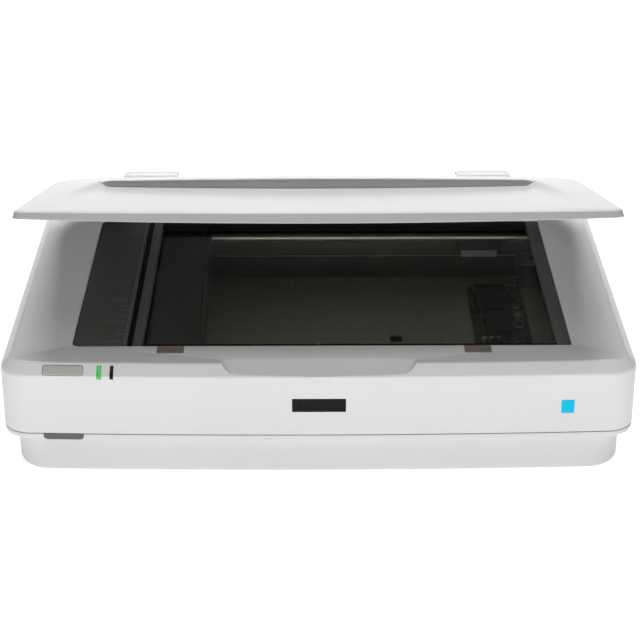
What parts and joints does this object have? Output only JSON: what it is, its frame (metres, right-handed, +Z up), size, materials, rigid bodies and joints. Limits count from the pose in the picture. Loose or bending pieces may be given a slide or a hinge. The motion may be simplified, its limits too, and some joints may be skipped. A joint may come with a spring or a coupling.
{
  "type": "flatbed scanner",
  "caption": "Large-format flatbed scanner with a bowed white case, a part-open lid with a smoky crescent band, a scanning carriage under glass and front controls.",
  "frame": {"origin": "on the ground under the centre of the body", "axes": "+X to the viewer's right, +Y to the rear, +Z up; the front faces -Y"},
  "size_m": [0.656, 0.458, 0.2835],
  "materials": {
    "case_plastic": "white moulded plastic, soft gloss",
    "tub_plastic": "white moulded plastic, fine grain",
    "lid_plastic": "white moulded plastic, soft gloss",
    "tray_plastic": "pale grey moulded plastic",
    "white_plastic": "white moulded plastic",
    "document_glass": "clear float glass",
    "black_plastic": "black moulded plastic",
    "scale_plastic": "dark grey strip with pale marks",
    "pad_rubber": "brown grey soft pads",
    "dark_sheet": "dark painted sheet steel",
    "rod_steel": "ground and polished steel",
    "zinc_steel": "zinc plated sheet steel",
    "spring_steel": "spring wire",
    "screw_steel": "zinc plated screws",
    "motor_metal": "black painted motor can",
    "circuit_board": "green circuit board",
    "supply_board": "brown circuit board",
    "port_metal": "tinned connector shell",
    "rubber": "black rubber",
    "badge_gloss": "blank black plate",
    "blue_print": "plain blue label",
    "green_lens": "lit green light pipe",
    "dark_lens": "unlit dark light pipe",
    "cable_plastic": "white flat cable",
    "carriage_plastic": "black glass-filled plastic",
    "light_guide": "milky light guide",
    "mirror_glass": "front-silvered mirror",
    "lens_metal": "black anodised barrel",
    "bush_bronze": "sintered bronze",
    "gear_plastic": "natural acetal",
    "start_grey": "light warm grey button",
    "power_grey": "dark grey button",
    "lock_blue": "blue slide lock",
    "hinge_grey": "grey moulded hinge post",
    "smoky_gloss": "smoky grey gloss band",
    "mat_foam": "white foam-backed mat",
    "hinge_cover_grey": "pale grey cover"
  },
  "bodies": {
    "base": {"lower_housing": "tub_plastic", "upper_housing": "case_plastic", "document_glass": "document_glass", "glass_frame": "black_plastic", "scale_plate": "scale_plastic", "lid_rest_pads": "pad_rubber", "white_reference_strip": "white_plastic", "chassis_plate": "dark_sheet", "guide_rod": "rod_steel", "rod_brackets": "zinc_steel", "front_rail": "zinc_steel", "drive_belt": "rubber", "idler_bracket": "zinc_steel", "tension_spring": "spring_steel", "stepper_motor": "motor_metal", "motor_bracket": "zinc_steel", "main_board": "circuit_board", "motor_driver_board": "circuit_board", "power_supply": "supply_board", "mains_inlet": "black_plastic", "data_port": "port_metal", "accessory_port": "black_plastic", "rubber_feet": "rubber", "badge_plate": "badge_gloss", "blue_label": "blue_print", "green_light": "green_lens", "dark_light": "dark_lens", "button_board": "circuit_board", "housing_screws": "screw_steel", "chassis_screws": "screw_steel", "power_switch": "black_plastic", "flat_cable": "cable_plastic", "hinge_sockets": "white_plastic"},
    "carriage": {"carriage_frame": "carriage_plastic", "carriage_cover": "black_plastic", "light_bar": "light_guide", "mirrors": "mirror_glass", "lens_barrel": "lens_metal", "sensor_board": "circuit_board", "rod_bushes": "bush_bronze", "front_slider": "white_plastic", "belt_clamp": "black_plastic"},
    "drive_pulley": {"drive_pulley": "gear_plastic"},
    "motor_pinion": {"motor_pinion": "bush_bronze"},
    "idler_pulley": {"idler_pulley": "gear_plastic"},
    "start_button": {"start_button": "start_grey"},
    "power_button": {"power_button": "power_grey"},
    "transport_lock": {"transport_lock": "lock_blue"},
    "hinge_posts": {"hinge_posts": "hinge_grey", "hinge_pins": "rod_steel", "hinge_springs": "spring_steel"},
    "lid": {"lid_shell": "lid_plastic", "lid_tray": "tray_plastic", "crescent_band": "smoky_gloss", "document_mat": "mat_foam", "hinge_covers": "hinge_cover_grey", "lid_screws": "screw_steel"}
  },
  "joints": [
    {"name": "carriage_slide", "type": "slide", "parent": "base", "child": "carriage", "axis": [1, 0, 0], "range_m": [0, 0.431]},
    {"name": "drive_pulley_spin", "type": "hinge", "parent": "base", "child": "drive_pulley", "pos_m": [0.286, 0.19, 0.095], "axis": [0, 0, 1], "continuous": true},
    {"name": "idler_pulley_spin", "type": "hinge", "parent": "base", "child": "idler_pulley", "pos_m": [-0.286, 0.19, 0.095], "axis": [0, 0, 1], "continuous": true},
    {"name": "motor_spin", "type": "hinge", "parent": "base", "child": "motor_pinion", "pos_m": [0.266, 0.19, 0.0688], "axis": [0, 0, 1], "continuous": true},
    {"name": "start_press", "type": "slide", "parent": "base", "child": "start_button", "axis": [0.025, 0.7067, -0.7071], "range_m": [0, 0.0012]},
    {"name": "power_press", "type": "slide", "parent": "base", "child": "power_button", "axis": [0.0356, 0.9994, 0], "range_m": [0, 0.0015]},
    {"name": "transport_lock_slide", "type": "slide", "parent": "base", "child": "transport_lock", "axis": [1, 0, 0], "range_m": [0, 0.007]},
    {"name": "hinge_lift", "type": "slide", "parent": "base", "child": "hinge_posts", "axis": [0, 0, 1], "range_m": [-0.0218, 0.0132]},
    {"name": "lid_hinge", "type": "hinge", "parent": "hinge_posts", "child": "lid", "pos_m": [0, 0.21, 0.1628], "axis": [-1, 0, 0], "range_deg": [-16.7, 63]}
  ],
  "couplings": [
    {"joint": "drive_pulley_spin", "follows": "carriage_slide", "rad_per_m": 112.99},
    {"joint": "idler_pulley_spin", "follows": "carriage_slide", "rad_per_m": 112.99},
    {"joint": "motor_spin", "follows": "carriage_slide", "rad_per_m": -451.98}
  ]
}
